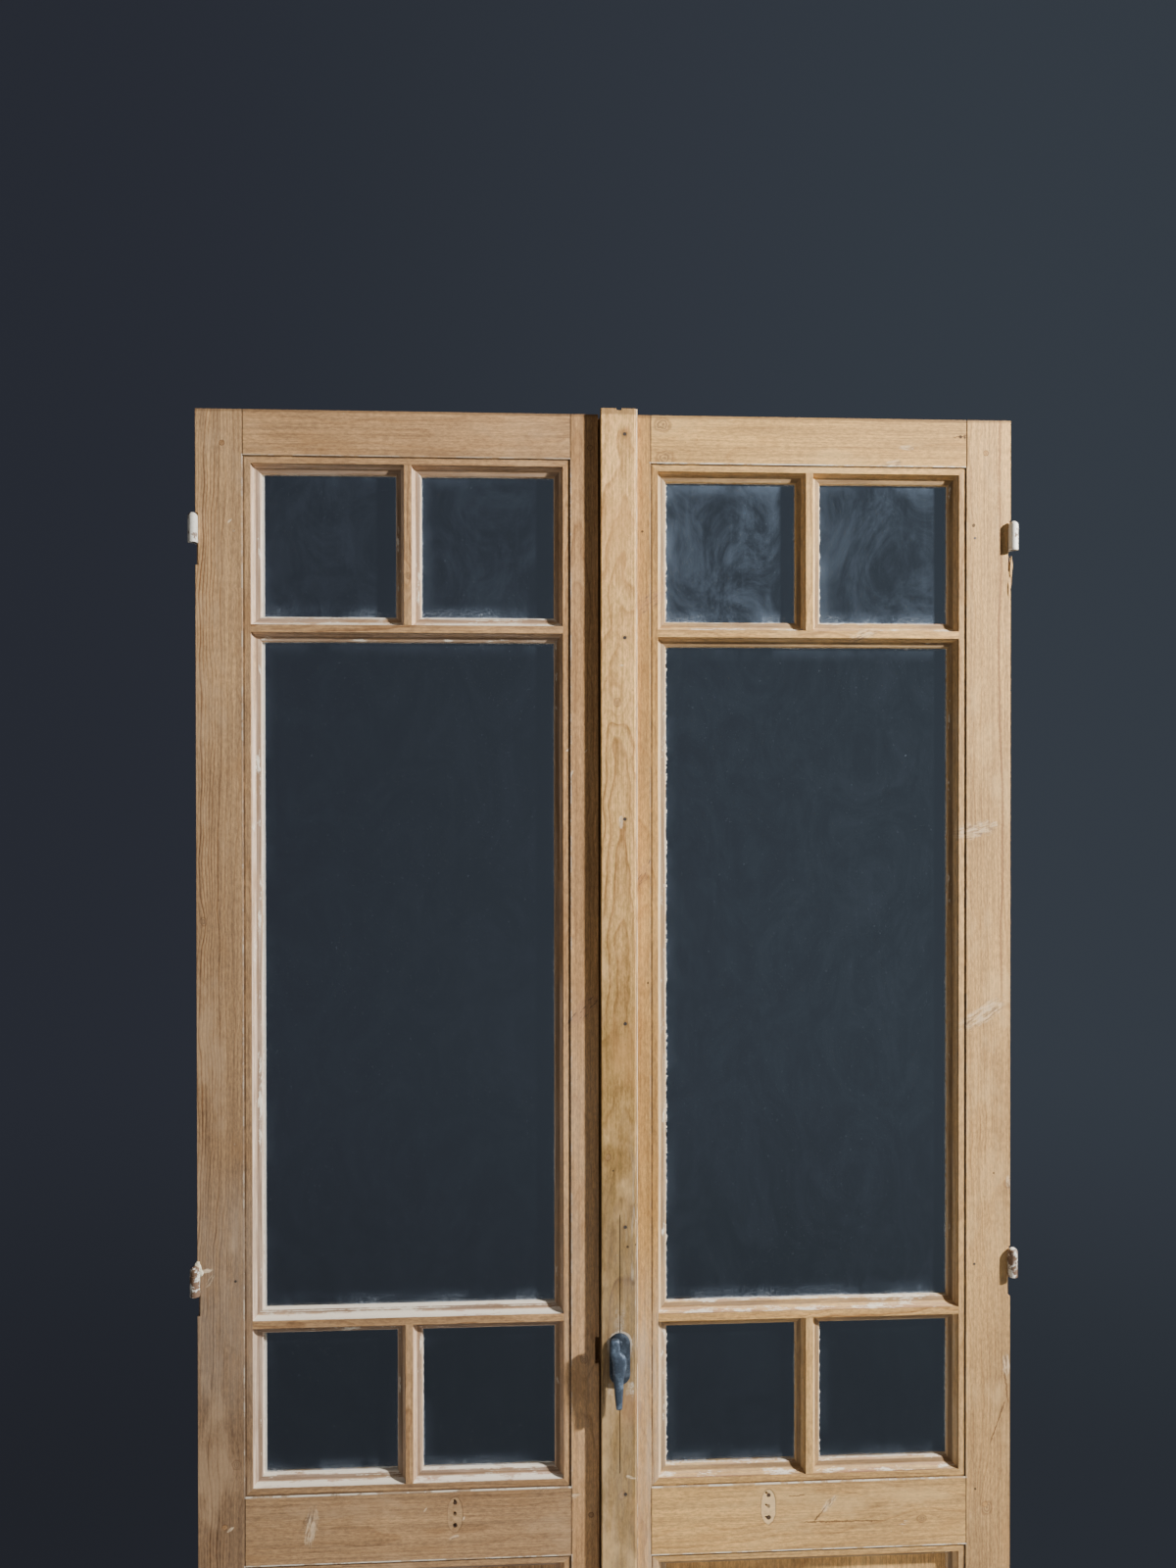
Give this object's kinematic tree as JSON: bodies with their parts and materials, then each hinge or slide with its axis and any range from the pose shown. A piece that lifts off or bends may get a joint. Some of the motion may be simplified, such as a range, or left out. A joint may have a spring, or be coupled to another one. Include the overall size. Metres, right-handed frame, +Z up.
{
  "type": "french doors",
  "caption": "Old glazed pine double doors with moulded bars, wood panels, a cover strip, lift-off hinge knuckles, and a lever that slides hidden bolt rods.",
  "frame": {"origin": "on the floor plane under the leaves, at the middle of the whole outline in X and Y", "axes": "+X across the pair, to the right seen from the front; +Y from the front to the back, through the leaves' thickness; +Z up"},
  "size_m": [1.3204, 0.082, 2.356],
  "materials": {
    "left_pine": "stripped pine, duller and browner, with traces of white paint",
    "right_pine": "stripped pine, paler and yellower, with traces of white paint",
    "strip_pine": "stripped pine, pale, with nail marks and a long crack",
    "peg_wood": "end grain of turned wooden pegs, flush and a little darker",
    "old_glass": "old window glass with dust and smears",
    "putty": "old hard putty, off-white, dry",
    "painted_iron": "iron under worn off-white paint",
    "handle_iron": "forged iron, dark blue-grey, rough",
    "bolt_iron": "old bare iron, dull",
    "bare_steel": "old nail steel, dark"
  },
  "bodies": {
    "left_leaf": {"left_hinge_stile": "left_pine", "left_meeting_stile": "left_pine", "left_top_rail": "left_pine", "left_mid_rail": "left_pine", "left_bottom_rail": "left_pine", "left_upper_cross_bar": "left_pine", "left_lower_cross_bar": "left_pine", "left_upper_upright_bar": "left_pine", "left_lower_upright_bar": "left_pine", "left_pane_top_outer": "old_glass", "left_pane_top_inner": "old_glass", "left_pane_centre": "old_glass", "left_pane_low_outer": "old_glass", "left_pane_low_inner": "old_glass", "left_panel": "left_pine", "left_putty": "putty", "left_pegs": "peg_wood", "left_hinge_upper": "painted_iron", "left_hinge_middle": "painted_iron", "left_hinge_lower": "painted_iron", "left_hinge_pins": "bare_steel"},
    "right_leaf": {"right_hinge_stile": "right_pine", "right_meeting_stile": "right_pine", "right_top_rail": "right_pine", "right_mid_rail": "right_pine", "right_bottom_rail": "right_pine", "right_upper_cross_bar": "right_pine", "right_lower_cross_bar": "right_pine", "right_upper_upright_bar": "right_pine", "right_lower_upright_bar": "right_pine", "right_pane_top_outer": "old_glass", "right_pane_top_inner": "old_glass", "right_pane_centre": "old_glass", "right_pane_low_outer": "old_glass", "right_pane_low_inner": "old_glass", "right_panel": "right_pine", "right_putty": "putty", "right_pegs": "peg_wood", "right_hinge_upper": "painted_iron", "right_hinge_middle": "painted_iron", "right_hinge_lower": "painted_iron", "right_hinge_pins": "bare_steel", "cover_strip": "strip_pine", "strip_nails": "bare_steel", "gear_case": "bolt_iron", "case_cover": "bolt_iron", "rod_guides": "bolt_iron", "backplate": "handle_iron", "plate_screws": "handle_iron"},
    "handle": {"lever_handle": "handle_iron", "pinion": "bolt_iron"},
    "upper_bolt": {"upper_rod": "bolt_iron"},
    "lower_bolt": {"lower_rod": "bolt_iron"}
  },
  "joints": [
    {"name": "right_leaf_swing", "type": "hinge", "parent": "left_leaf", "child": "right_leaf", "pos_m": [0.6527, -0.0075, 1], "axis": [0, 0, 1], "range_deg": [0, 110]},
    {"name": "handle_turn", "type": "hinge", "parent": "right_leaf", "child": "handle", "pos_m": [0.0125, -0.03, 0.852], "axis": [0, -1, 0], "range_deg": [0, 90]},
    {"name": "upper_bolt_throw", "type": "slide", "parent": "right_leaf", "child": "upper_bolt", "axis": [0, 0, 1], "range_m": [0, 0.019]},
    {"name": "lower_bolt_throw", "type": "slide", "parent": "right_leaf", "child": "lower_bolt", "axis": [0, 0, -1], "range_m": [0, 0.019]}
  ],
  "couplings": [
    {"joint": "upper_bolt_throw", "follows": "handle_turn", "m_per_rad": 0.012},
    {"joint": "lower_bolt_throw", "follows": "handle_turn", "m_per_rad": 0.012}
  ]
}
